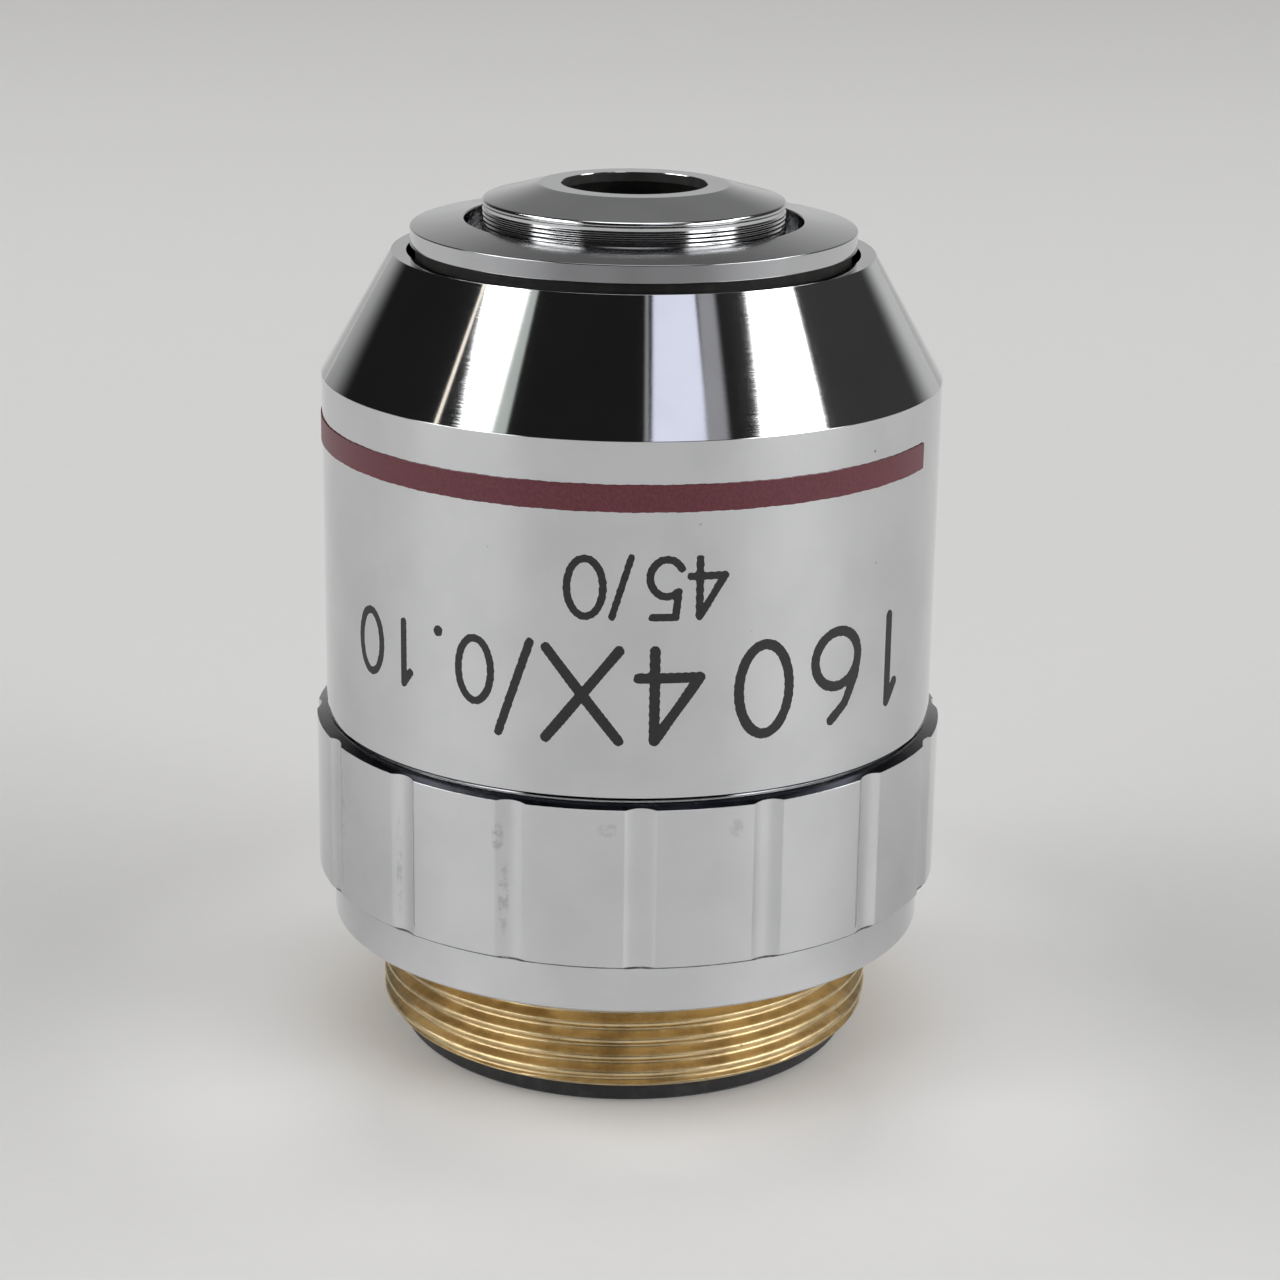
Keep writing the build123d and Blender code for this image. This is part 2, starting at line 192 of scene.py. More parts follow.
def rounded_outline(corners, steps=5):
    """Runs of (radius, height, normal) round a closed outline of (radius, height, rounding) corners."""
    count = len(corners)
    points = [np.array(c[:2], dtype=float) for c in corners]
    arcs = []
    for i in range(count):
        corner, rounding = points[i], corners[i][2]
        back = unit(points[i - 1] - corner)
        ahead = unit(points[(i + 1) % count] - corner)
        if rounding <= 0:
            arcs.append((corner, corner, None))
            continue
        half = math.acos(np.clip(back @ ahead, -1, 1)) / 2
        run = rounding / math.tan(half)
        centre = corner + unit(back + ahead) * rounding / math.sin(half)
        start, end = corner + back * run, corner + ahead * run
        convex = back[0] * ahead[1] - back[1] * ahead[0] < 0
        first = math.atan2(*(start - centre)[::-1])
        last = math.atan2(*(end - centre)[::-1])
        turn = (last - first + math.pi) % FULL_TURN - math.pi
        angles = first + turn * np.linspace(0, 1, steps + 1)
        out = np.stack([np.cos(angles), np.sin(angles)], axis=1)
        arcs.append((start, end, (centre + out * rounding, out if convex else -out)))
    runs = []
    for i in range(count):
        start, end, arc = arcs[i]
        if arc is not None:
            runs.append((arc[0][:, 0], arc[0][:, 1], arc[1]))
        following = arcs[(i + 1) % count][0]
        way = following - end
        if np.linalg.norm(way) > 1e-9:
            normal = np.array([unit(way)[1], -unit(way)[0]])
            ends = np.stack([end, following])
            runs.append((ends[:, 0], ends[:, 1], np.stack([normal, normal])))
    return runs


def even_angles(columns):
    """Evenly spaced azimuths round a full turn."""
    return np.arange(columns) / columns * FULL_TURN


def lathe(name, runs, angles):
    """Closed mesh turned from runs of rings. A ring's radius and height may vary with the azimuth."""
    columns = len(angles)
    radii, heights, low_normals, high_normals = [], [], [], []
    for run_r, run_z, run_n in runs:
        for i in range(len(run_r) - 1):
            radii.append(fixed(run_r[i], columns))
            heights.append(fixed(run_z[i], columns))
            low_normals.append(column_normals(run_n[i], columns))
            high_normals.append(column_normals(run_n[i + 1], columns))
    rings = len(radii)
    radii, heights = np.array(radii), np.array(heights)
    cos, sin = np.cos(angles), np.sin(angles)
    vertices = np.stack([radii * cos, radii * sin, heights], axis=2).reshape(-1, 3) * MM
    ring = np.arange(rings)[:, None]
    column = np.arange(columns)[None, :]
    here, above = ring * columns, (ring + 1) % rings * columns
    beside = (column + 1) % columns
    faces = np.stack([here + column, here + beside, above + beside, above + column], axis=2)
    low = world_normals(np.array(low_normals), cos, sin)
    high = world_normals(np.array(high_normals), cos, sin)
    turned_low, turned_high = np.roll(low, -1, axis=1), np.roll(high, -1, axis=1)
    normals = np.stack([low, turned_low, turned_high, high], axis=2).reshape(-1, 3)
    return new_mesh(name, vertices, faces.reshape(-1, 4), normals)


def turned(name, corners, steps=5):
    """Mesh turned from a closed outline of (radius, height, rounding) corners."""
    return lathe(name, rounded_outline(corners, steps), even_angles(512))


def column_normals(normal, columns):
    """Normals (outward, along the turn, up) for each column, from one (outward, up) or from an array."""
    normal = np.asarray(normal, dtype=float)
    if normal.ndim == 1:
        return np.broadcast_to(np.array([normal[0], 0.0, normal[1]]), (columns, 3))
    return normal


def world_normals(normals, cos, sin):
    """Normals as (outward, along the turn, up), turned to x, y and z."""
    x = normals[..., 0] * cos - normals[..., 1] * sin
    y = normals[..., 0] * sin + normals[..., 1] * cos
    return np.stack([x, y, normals[..., 2]], axis=-1)


def new_mesh(name, vertices, faces, normals=None):
    """Object with the given mesh, smooth and with its own normals where they are given."""
    mesh = bpy.data.meshes.new(name)
    mesh.from_pydata([tuple(v) for v in vertices], [], [tuple(int(i) for i in f) for f in faces])
    mesh.update()
    if normals is not None:
        mesh.polygons.foreach_set("use_smooth", [True] * len(mesh.polygons))
        mesh.normals_split_custom_set([tuple(n) for n in normals])
    piece = bpy.data.objects.new(name, mesh)
    bpy.context.scene.collection.objects.link(piece)
    return piece


def dress(piece, material, slot, *nodes):
    """Give a new piece its material and its body, and hide the solids that it stands for. The slot argument
    is not used.
    """
    piece.data.materials.append(material)
    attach(piece, "root")
    if nodes:
        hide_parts(*nodes)


def finish_faces(piece, material, chosen):
    """Give a second material to the faces whose radius and height, in millimetres, pass a test."""
    piece.data.materials.append(material)
    for face in piece.data.polygons:
        if chosen(math.hypot(face.center.x, face.center.y) / MM, face.center.z / MM):
            face.material_index = 1


def repaint(node, material):
    """Give a carried-over solid its material."""
    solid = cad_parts[node]
    solid.data.materials.clear()
    solid.data.materials.append(material)


# Materials


class Shader:
    """Node tree of one material or of the world, with short calls for the nodes that it uses."""

    def __init__(self, owner):
        owner.use_nodes = True
        self.tree = owner.node_tree
        self.tree.nodes.clear()

    def add(self, kind, inputs=None, **settings):
        """New node with its settings and its inputs, which are numbers, colours or sockets."""
        node = self.tree.nodes.new("ShaderNode" + kind)
        for name, value in settings.items():
            setattr(node, name, value)
        for key, value in (inputs or {}).items():
            self.put(node.inputs[key], value)
        return node

    def put(self, socket, value):
        """Set a socket, or link it where the value is another socket."""
        if isinstance(value, bpy.types.NodeSocket):
            self.tree.links.new(value, socket)
        else:
            socket.default_value = value

    def math(self, operation, *values):
        """Result of a Math node."""
        return self.add("Math", dict(enumerate(values)), operation=operation).outputs[0]

    def times(self, first, second):
        """Product of two values."""
        return self.math("MULTIPLY", first, second)

    def hypotenuse(self, first, second):
        """Root of the sum of two squares."""
        return self.math("SQRT", self.math("ADD", self.times(first, first), self.times(second, second)))

    def turn(self, x, y):
        """Azimuth in radians, 0 towards the camera and positive to its right."""
        return self.math("ARCTAN2", x, self.times(y, -1.0))

    def step(self, value, low, high, start=0.0, end=1.0):
        """Smooth step of a value from low to high."""
        inputs = {"Value": value, "From Min": low, "From Max": high, "To Min": start, "To Max": end}
        return self.add("MapRange", inputs, interpolation_type="SMOOTHSTEP").outputs[0]

    def window(self, value, low, high, low_edge, high_edge):
        """1 between low and high, with soft edges of the given widths."""
        rise = self.step(value, low - low_edge / 2, low + low_edge / 2)
        fall = self.step(value, high - high_edge / 2, high + high_edge / 2, 1.0, 0.0)
        return self.times(rise, fall)

    def mix(self, factor, first, second):
        """Mix of two colours."""
        node = self.add("Mix", data_type="RGBA")
        self.put(node.inputs[0], factor)
        self.put(node.inputs[6], first)
        self.put(node.inputs[7], second)
        return node.outputs[2]

    def scaled(self, value, factor, offset):
        """Value times a factor, plus an offset."""
        return self.math("MULTIPLY_ADD", value, factor, offset)

    def noise(self, vector, scale, detail, roughness=0.5):
        """Noise from 0 to 1."""
        inputs = {"Vector": vector, "Scale": scale, "Detail": detail, "Roughness": roughness}
        return self.add("TexNoise", inputs).outputs[0]


def rgba(values, factor=1.0):
    """Colour with full alpha, made lighter or darker by a factor."""
    return tuple(v * factor for v in values[:3]) + (1.0,)


def grey(brightness):
    """Neutral colour."""
    return (brightness, brightness, brightness, 1.0)


class Finish(Shader):
    """Material of a turned piece. Its patterns follow the object's own coordinates, in millimetres."""

    def __init__(self, name):
        self.material = bpy.data.materials.new(name)
        super().__init__(self.material)
        out = self.add("OutputMaterial")
        self.surface = self.add("BsdfPrincipled")
        self.tree.links.new(self.surface.outputs[0], out.inputs["Surface"])
        place = self.add("TexCoord").outputs["Object"]
        scaling = {0: place, 1: (1 / MM, 1 / MM, 1 / MM)}
        self.place = self.add("VectorMath", scaling, operation="MULTIPLY").outputs[0]
        self.x, self.y, self.z = self.add("SeparateXYZ", {0: self.place}).outputs
        self.r = self.hypotenuse(self.x, self.y)
        self.azimuth = self.turn(self.x, self.y)
        self.aside = self.math("ABSOLUTE", self.azimuth)
        self.along = self.math("SUBTRACT", self.z, self.r)

    def set(self, **values):
        """Set the shader's own sockets, named with underscores for spaces."""
        for name, value in values.items():
            self.put(self.surface.inputs[name.replace("_", " ")], value)

    def turned_lines(self, pitch, wander=0.15):
        """Noise in fine lines round the axis, about one line to each pitch, on walls and faces alike."""
        across = [self.times(v, wander) for v in (self.x, self.y)]
        inputs = dict(enumerate([*across, self.math("DIVIDE", self.along, pitch)]))
        vector = self.add("CombineXYZ", inputs).outputs[0]
        return self.noise(vector, 1.0, 3.0, 0.6)

    def spot(self, azimuth, height, width, tall):
        """Upright oval at an azimuth in degrees and a height: 1 at its middle, 0 from its edge on."""
        across = self.times(self.math("SUBTRACT", self.azimuth, math.radians(azimuth)), grip_r / width)
        up = self.math("DIVIDE", self.math("SUBTRACT", self.z, height), tall)
        return self.step(self.hypotenuse(across, up), 0.5, 1.0, 1.0, 0.0)

    def bump(self, height, distance):
        """Raise the surface by a height from 0 to 1, over a distance in millimetres."""
        node = self.add("Bump", {"Height": height, "Distance": distance * MM, "Strength": 1.0})
        previous = self.surface.inputs["Normal"].links
        if previous:
            self.tree.links.new(previous[0].from_socket, node.inputs["Normal"])
        self.tree.links.new(node.outputs[0], self.surface.inputs["Normal"])


stain_colour = (0.23, 0.22, 0.2, 1.0)
seam_shade_colour = (0.07, 0.08, 0.09, 1.0)
dark_reflection_colour = (0.12, 0.122, 0.13, 1.0)


def chrome_finish(name, base, roughness, line_depth, line_pitch, stains=(), seam=None, dark_reflection=0.0):
    """Plated metal with fine turning lines and haze, and stains, a thin line of painted shade at a seam or a
    painted dark reflection in front if wanted.
    """
    finish = Finish(name)
    lines = finish.turned_lines(line_pitch)
    haze = finish.noise(finish.place, 0.35, 3.0)
    shade = finish.mix(finish.step(haze, 0.35, 0.7), rgba(base), rgba(base, 0.94))
    grain = finish.noise(finish.place, 2.2, 4.0, 0.7)
    speckle = finish.step(grain, 0.42, 0.6)
    for azimuth, height, width, tall, strength in stains:
        mask = finish.times(finish.spot(azimuth, height, width, tall), speckle)
        shade = finish.mix(finish.times(mask, strength), shade, stain_colour)
    # Painted shade: a thin dark line just above the seam, broken up by the grain.
    if seam is not None:
        line = finish.window(finish.z, seam - 0.01, seam + 0.085, 0.03, 0.05)
        painted_shade = finish.times(line, finish.step(grain, 0.25, 0.6, 0.35, 1.0))
        shade = finish.mix(painted_shade, shade, seam_shade_colour)
    # Painted reflection: the front sector is darkened, as a dark reflection on the camera side.
    if dark_reflection:
        shade = finish.mix(finish.step(finish.aside, 0.25, 1.05, dark_reflection, 0.0), shade, dark_reflection_colour)
    finish.set(Base_Color=shade, Metallic=1.0)
    finish.set(Roughness=finish.scaled(lines, roughness * 0.6, roughness * 0.7))
    finish.bump(lines, line_depth)
    return finish.material


def brass_finish(name, base):
    """Bare brass with tarnished patches and a few dark specks."""
    finish = Finish(name)
    lines = finish.turned_lines(0.06, 0.3)
    patches = finish.noise(finish.place, 0.55, 4.0, 0.65)
    fine = finish.noise(finish.place, 3.5, 3.0, 0.7)
    tarnish = finish.times(finish.step(patches, 0.4, 0.7), 0.7)
    brown = rgba([v * part for v, part in zip(base, (0.5, 0.46, 0.42))])
    specks, speck_colour = finish.step(fine, 0.66, 0.78, 0.0, 0.6), (0.1, 0.075, 0.045, 1.0)
    shade = finish.mix(specks, finish.mix(tarnish, rgba(base), brown), speck_colour)
    finish.set(Base_Color=shade, Metallic=1.0)
    finish.set(Roughness=finish.scaled(fine, 0.25, 0.22))
    finish.bump(lines, 0.002)
    finish.bump(fine, 0.01)
    return finish.material


def black_finish(name, base, roughness):
    """Anodised or blackened metal with fine turning lines."""
    finish = Finish(name)
    lines = finish.turned_lines(0.08)
    grime = finish.noise(finish.place, 1.6, 4.0)
    finish.set(Base_Color=finish.mix(finish.step(grime, 0.4, 0.75), rgba(base), rgba(base, 1.9)))
    finish.set(Roughness=finish.scaled(grime, 0.25, roughness), Specular_IOR_Level=0.4)
    finish.bump(lines, 0.004)
    return finish.material


def ink_finish(name, base, roughness=0.42):
    """Filled ink with an uneven surface."""
    finish = Finish(name)
    grain = finish.noise(finish.place, 9.0, 4.0, 0.7)
    lighter = rgba([min(1.0, v * 1.5 + 0.004) for v in base])
    finish.set(Base_Color=finish.mix(finish.step(grain, 0.35, 0.75), rgba(base), lighter))
    finish.set(Roughness=finish.scaled(grain, 0.2, roughness))
    finish.bump(grain, 0.006)
    return finish.material


def glass_finish(name, tint, index):
    """Polished and coated glass."""
    finish = Finish(name)
    smear = finish.noise(finish.place, 0.8, 3.0)
    finish.set(Base_Color=finish.mix(smear, rgba(tint), (0.97, 0.97, 0.99, 1.0)))
    finish.set(Roughness=0.0, IOR=index, Transmission_Weight=1.0, Specular_IOR_Level=0.15)
    return finish.material


# Figures from strokes


def arc_points(centre_x, centre_y, radius_x, radius_y, start, end, count):
    """Points on an oval arc, with angles in degrees."""
    turns = np.radians(np.linspace(start, end, count))
    return [(centre_x + radius_x * math.cos(t), centre_y + radius_y * math.sin(t)) for t in turns]


def figure_strokes(figure, w, h):
    """Centre lines of one figure in a box of the given width and height, with its base line at 0."""
    strokes = {
        "0": [arc_points(w / 2, h / 2, w / 2, h / 2, 0, 360, 48)],
        "1": [[(w * 0.15, h * 0.8), (w * 0.55, h), (w * 0.55, 0)]],
        "4": [[(w * 0.74, 0), (w * 0.74, h), (0, h * 0.3), (w, h * 0.3)]],
        "5": [
            [(w * 0.9, h), (w * 0.18, h), (w * 0.1, h * 0.56)]
            + arc_points(w * 0.46, h * 0.32, w * 0.52, h * 0.32, 128, -150, 30)
        ],
        "6": [
            arc_points(w / 2, h * 0.31, w / 2, h * 0.31, 0, 360, 40),
            [(0, h * 0.33), (w * 0.06, h * 0.55), (w * 0.3, h * 0.84), (w * 0.62, h)],
        ],
        "X": [[(0, 0), (w, h)], [(0, h), (w, 0)]],
        "/": [[(0, -h * 0.04), (w, h)]],
        ".": [[(w / 2, 0.0), (w / 2, 0.02)]],
    }
    return strokes[figure]


def stroke_distance(x, y, strokes):
    """Distance from each grid point to the nearest stroke."""
    nearest = np.full(x.shape, 1e3)
    for stroke in strokes:
        for (x0, y0), (x1, y1) in zip(stroke[:-1], stroke[1:]):
            dx, dy = x1 - x0, y1 - y0
            size = dx * dx + dy * dy
            t = np.clip(((x - x0) * dx + (y - y0) * dy) / max(size, 1e-12), 0, 1)
            nearest = np.minimum(nearest, np.hypot(x - x0 - t * dx, y - y0 - t * dy))
    return nearest


def ragged(x, y, size):
    """Small smooth waves that roughen an inked edge."""
    waves = np.sin(x * 23.1 + 1.3) * np.sin(y * 19.7 + 0.4) + 0.6 * np.sin(x * 51.3 - y * 37.9)
    return waves * size


def filled_cells(field, x, y):
    """Polygons that cover the part of a grid where the field is below 0, with shared points."""
    points, index, polygons = [], {}, []

    def grid_point(i, j):
        if ("g", i, j) not in index:
            index["g", i, j] = len(points)
            points.append((x[i], y[j]))
        return index["g", i, j]

    def edge_point(a, b):
        low, high = sorted((a, b))
        key = ("e", low, high)
        if key not in index:
            t = field[low] / (field[low] - field[high])
            t = min(max(t, 0.02), 0.98)
            index[key] = len(points)
            points.append(
                (x[low[0]] + t * (x[high[0]] - x[low[0]]), y[low[1]] + t * (y[high[1]] - y[low[1]]))
            )
        return index[key]

    for i in range(len(x) - 1):
        for j in range(len(y) - 1):
            corners = [(i, j), (i + 1, j), (i + 1, j + 1), (i, j + 1)]
            inside = [field[c] < 0 for c in corners]
            if not any(inside):
                continue
            polygon = []
            for k in range(4):
                if inside[k]:
                    polygon.append(grid_point(*corners[k]))
                if inside[k] != inside[(k + 1) % 4]:
                    polygon.append(edge_point(corners[k], corners[(k + 1) % 4]))
            polygons.append(polygon)
    return points, polygons


def inked_figures(name, lines, stroke, ink_height):
    """Thin solids of upside-down figures wrapped on the sleeve, as one mesh."""
    cell, roughness, sunk = 0.045, 0.014, 0.02
    vertices, faces = [], []
    for figure, high_azimuth, width, height, base_z, weight in lines:
        strokes = figure_strokes(figure, width, height)
        half = stroke * weight / 2
        x = np.arange(-half - 2 * cell, width + half + 3 * cell, cell)
        y = np.arange(-half - height * 0.05 - 2 * cell, height + half + 3 * cell, cell)
        grid_x, grid_y = np.meshgrid(x, y, indexing="ij")
        radius = half * (1.35 if figure == "." else 1.0)
        field = stroke_distance(grid_x, grid_y, strokes) - radius
        field = field + ragged(grid_x + high_azimuth, grid_y, roughness)
        points, polygons = filled_cells(field, x, y)
        start = len(vertices)
        count = len(points)
        for level in (sleeve_r + ink_height, sleeve_r - sunk):
            for px, py in points:
                turn = math.radians(high_azimuth) - px / sleeve_r
                vertices.append((level * math.sin(turn), -level * math.cos(turn), base_z - py))
        edges = {}
        for polygon in polygons:
            faces.append([start + p for p in polygon])
            faces.append([start + count + p for p in reversed(polygon)])
            for a, b in zip(polygon, polygon[1:] + polygon[:1]):
                edges[a, b] = True
        for a, b in edges:
            if (b, a) not in edges:
                faces.append([start + b, start + a, start + count + a, start + count + b])
    return new_mesh(name, np.array(vertices) * MM, faces)


# Operators, one for each piece or group of like pieces


def settings_of(group):
    """Property that gives one group of the scene's settings."""
    return property(lambda operator: getattr(bpy.context.scene, "objective_" + group))


class PieceOperator:
    """What the operators of this file share."""

    bl_options = {"REGISTER", "UNDO"}
    stage = settings_of("stage")
    chrome = settings_of("chrome")
    grip = settings_of("grip")
    thread = settings_of("thread")
    figures = settings_of("figures")
    glass = settings_of("glass")

    def execute(self, context):
        self.build()
        return {"FINISHED"}

    def satin_finish(self, name, dark_reflection=0.0):
        """Satin chrome of the nose and the front ring."""
        return chrome_finish(name, self.chrome.satin_colour, self.chrome.satin, 0.0012, 0.06, dark_reflection=dark_reflection)


class OBJECTIVE_OT_stage(PieceOperator, bpy.types.Operator):
    """Lay the paper floor, light the room and place the camera"""

    bl_idname = "objective.stage"
    bl_label = "Stage"

    def build(self):
        self.lay_floor()
        self.light_room()
        self.place_camera()
        bpy.context.scene.view_settings.view_transform = "Standard"

    def lay_floor(self):
        """Pale paper with painted light round the foot, a soft painted shadow behind the camera and painted
        shade on the far floor.
        """
        z = end_ring_low * MM
        half = 3.0
        corners = [(-half, -half, z), (half, -half, z), (half, half, z), (-half, half, z)]
        floor = new_mesh("paper_floor", corners, [(0, 1, 2, 3)])
        finish = Finish("white_paper")
        shadow_patch_colour, foot_light_colour = (0.5, 0.495, 0.485, 1.0), (0.9, 0.895, 0.885, 1.0)
        fibres = finish.noise(finish.place, 0.9, 5.0, 0.7)
        near = self.stage.floor_colour
        tone = finish.mix(finish.step(fibres, 0.3, 0.7, 0.0, 0.35), rgba(near), rgba(near, 0.97))
        # Painted shadow: a soft grey patch on the floor behind the camera.
        behind_camera = finish.window(finish.y, -235.0, -190.0, 60.0, 60.0)
        shadow_patch = finish.times(behind_camera, finish.window(finish.x, -30.0, 20.0, 45.0, 45.0))
        tone = finish.mix(shadow_patch, tone, shadow_patch_colour)
        # Painted light: the floor is paler round the foot and farther out at the sides, where the objective's
        # shadow falls.
        in_front = finish.step(finish.r, 10.5, 17.5, 0.8, 0.0)
        beside = finish.times(
            finish.step(finish.aside, 0.45, 1.1), finish.step(finish.r, 14.0, 27.0, 0.95, 0.0)
        )
        tone = finish.mix(finish.math("MAXIMUM", in_front, beside), tone, foot_light_colour)
        # Painted shade: the floor darkens towards the far colour away from the objective.
        far_shade = finish.step(finish.y, 120.0, 520.0)
        finish.set(Base_Color=finish.mix(far_shade, tone, rgba(self.stage.far_shade_colour)), Roughness=0.55)
        finish.set(Specular_IOR_Level=0.25)
        finish.bump(fibres, 0.01)
        floor.data.materials.append(finish.material)

    def light_room(self):
        """Paint wall, room, backdrop, fills, lamps and ceiling, by azimuth and height in degrees."""
        world = bpy.data.worlds.new("studio_room")
        bpy.context.scene.world = world
        room = Shader(world)
        direction = room.add("TexCoord").outputs["Generated"]
        x, y, z = room.add("SeparateXYZ", {0: direction}).outputs
        height, azimuth = (room.times(v, 180 / math.pi) for v in (room.math("ARCSINE", z), room.turn(x, y)))
        aside = room.math("ABSOLUTE", azimuth)
        settings = self.stage
        wall, dim = settings.wall_brightness, settings.room_brightness

        # Wall and dim room on the camera's side, pale below the table's height
        side_wall = room.step(azimuth, -60.0, 60.0, wall * 0.6, wall)
        side_wall = room.times(side_wall, room.step(aside, 22.0, 60.0, 0.2, 1.0))
        side_room = room.step(azimuth, 30.0, 95.0, dim, dim * 3.5)
        side = room.mix(room.step(height, 4.0, 13.0), side_wall, side_room)
        side = room.mix(room.math("LESS_THAN", height, 0.5), side, grey(wall))

        # Backdrop behind the objective
        backdrop = room.step(height, 2.0, 26.0, wall * 0.95, 0.23)
        backdrop = room.times(backdrop, room.step(height, 46.0, 60.0, 1.0, 0.12))
        total = room.mix(room.step(aside, 142.0, 168.0), side, backdrop)

        # Low fill lights at both sides
        fills = room.times(
            room.window(height, 12.0, 27.0, 3.0, 3.0), room.window(aside, 42.0, 84.0, 8.0, 10.0)
        )
        total = room.mix(fills, total, grey(settings.fill_brightness))

        # Lamps: azimuth from, to, two soft edges, lean; height from, to, two soft edges, rise
        bright = settings.lamp_brightness
        white, lavender = (1.0, 1.0, 1.0), (1.0, 1.0, 1.06)
        green, blue, warm = (0.93, 1.0, 0.93), (0.87, 0.9, 1.05), (1.05, 0.95, 0.82)
        lamps = [
            ((-112.0, -53.4, 1.0, 0.8, 0.0), (36.0, 50.0, 0.8, 1.0, 0.0), 0.62, green),
            ((-112.0, -58.5, 1.0, 5.0, 0.4), (36.0, 50.0, 0.8, 1.0, 0.0), bright, white),
            ((48.0, 122.0, 8.0, 8.0, 0.0), (29.8, 40.4, 1.0, 1.2, 0.12), bright, white),
            ((7.8, 33.5, 0.8, 0.8, 0.9), (41.0, 60.0, 1.0, 1.0, 0.0), 1.15, blue),
            ((33.5, 45.6, 0.8, 3.5, 1.9), (40.0, 60.0, 1.0, 1.0, 0.0), 0.38, lavender),
            ((5.2, 6.8, 0.5, 0.5, 0.5), (42.0, 60.0, 1.0, 1.0, 0.0), 0.4, white),
            ((-83.6, -82.2, 0.5, 0.5, 0.0), (26.0, 46.0, 1.0, 1.0, 0.0), 1.6, warm),
        ]
        for sides, levels, brightness, tint in lamps:
            left, right, left_edge, right_edge, lean = sides
            low, high, low_edge, high_edge, rise = levels
            leaning = room.scaled(room.math("SUBTRACT", height, 45.0), -lean, azimuth)
            rising = room.scaled(room.math("SUBTRACT", azimuth, 58.0), -rise, height)
            across = room.window(leaning, left, right, left_edge, right_edge)
            upright = room.window(rising, low, high, low_edge, high_edge)
            total = room.mix(room.times(across, upright), total, rgba(tint, brightness))
        total = room.mix(room.step(height, 67.0, 73.0), total, grey(settings.ceiling_brightness))
        background = room.add("Background", {"Color": total})
        out = room.add("OutputWorld")
        room.tree.links.new(background.outputs[0], out.inputs["Surface"])

    def place_camera(self):
        """Camera fitted to the circles seen in the photograph."""
        eye = Vector((0.0, -119.689, 48.394)) * MM
        data = bpy.data.cameras.new("view_camera")
        data.sensor_width = 36.0
        data.lens = 85.96
        data.clip_start = 0.005
        camera = bpy.data.objects.new("view_camera", data)
        bpy.context.scene.collection.objects.link(camera)
        pitch, yaw, roll = (math.radians(turn) for turn in (17.2587, 0.2223, 0.8008))
        ahead = Vector((math.sin(yaw) * math.cos(pitch), math.cos(yaw) * math.cos(pitch), -math.sin(pitch)))
        right = Vector((math.cos(yaw), -math.sin(yaw), 0.0))
        up = right.cross(ahead)
        tilted_right = right * math.cos(roll) + up * math.sin(roll)
        tilted_up = up * math.cos(roll) - right * math.sin(roll)
        axes = Matrix((tilted_right, tilted_up, -ahead)).transposed().to_4x4()
        camera.matrix_world = Matrix.Translation(eye) @ axes
        bpy.context.scene.camera = camera


class OBJECTIVE_OT_sleeve(PieceOperator, bpy.types.Operator):
    """Turn the chromed sleeve with its polished cone"""

    bl_idname = "objective.sleeve"
    bl_label = "Sleeve"

    def build(self):
        chrome = self.chrome
        edge = chrome.edge_radius / MM
        wall = chrome.sleeve_wall / MM
        slope = math.tan(chrome.cone_angle)
        cone_base = sleeve_high - chrome.cone_height / MM
        top_r = sleeve_r - (sleeve_high - cone_base) * slope
        rim_width = 0.6
        mouth_r = top_r - rim_width
        bore_r = sleeve_r - wall
        inner_cone = cone_base - wall * math.tan(chrome.cone_angle / 2)
        mouth_low = inner_cone + (bore_r - mouth_r) / slope
        collar_r, foot_r = 10.94, 12.05
        collar_top, foot_top, bevel_top = sleeve_low + 3.25, sleeve_low + 0.1, sleeve_low + 0.18
        corners = [
            (collar_r, sleeve_low, 0),
            (foot_r, sleeve_low, 0.01),
            (foot_r, foot_top, 0.01),
            (sleeve_r - 0.08, foot_top, edge),
            (sleeve_r, bevel_top, edge),
            (sleeve_r, cone_base, 0.06),
            (top_r, sleeve_high, 0.012),
            (mouth_r, sleeve_high, 0.02),
            (mouth_r, mouth_low, 0),
            (bore_r, inner_cone, 0),
            (bore_r, collar_top, 0),
            (collar_r, collar_top, 0),
        ]
        piece = turned("outer_sleeve_turned", corners)
        pits = [
            (47.8, 21.3, 0.07, 1.0),
            (21.6, 15.2, 0.06, 1.0),
            (-25.2, 18.2, 0.05, 1.0),
            (49.2, 16.9, 0.06, 1.0),
            (12.0, 19.4, 0.05, 0.8),
        ]
        stains = [(azimuth, height, size, size, strength) for azimuth, height, size, strength in pits]
        material = chrome_finish(
            "polished_chrome_sleeve", chrome.chrome_colour, chrome.polish, 0.00042, 0.045, stains
        )
        dress(piece, material, "chrome_sleeve", "outer_sleeve")


class OBJECTIVE_OT_band(PieceOperator, bpy.types.Operator):
    """Print the magnification band, open between its two ends"""

    bl_idname = "objective.band"
    bl_label = "Band"

    def build(self):
        columns = 720
        right_end, gap = 65.5, 24
        ink, margin = 0.008, 0.015
        turns = math.radians(right_end - 90 + gap)
        turns = turns + (FULL_TURN - math.radians(gap)) * np.linspace(0, 1, columns)
        inner, outer = sleeve_r + ink, band_r
        wave = 0.007 * (np.sin(turns * 37) + np.sin(turns * 143 + 1) + 0.7 * np.sin(turns * 331))
        low = band_low + margin + wave
        high = band_high - margin + np.roll(wave, 97)
        rings = [(inner, low), (outer, low), (outer, high), (inner, high)]
        vertices = []
        for radius, level in rings:
            vertices.extend(zip(radius * np.cos(turns), radius * np.sin(turns), level))
        faces = []
        for ring in range(4):
            above = (ring + 1) % 4
            for i in range(columns - 1):
                a, b = ring * columns + i, above * columns + i
                faces.append((a, a + 1, b + 1, b))
        faces.append((0, columns, 2 * columns, 3 * columns))
        faces.append((columns - 1, 4 * columns - 1, 3 * columns - 1, 2 * columns - 1))
        piece = new_mesh("colour_band_print", np.array(vertices) * MM, faces)
        dress(piece, ink_finish("maroon_ink", self.figures.band_colour, 0.3), "red_ink", "colour_band")


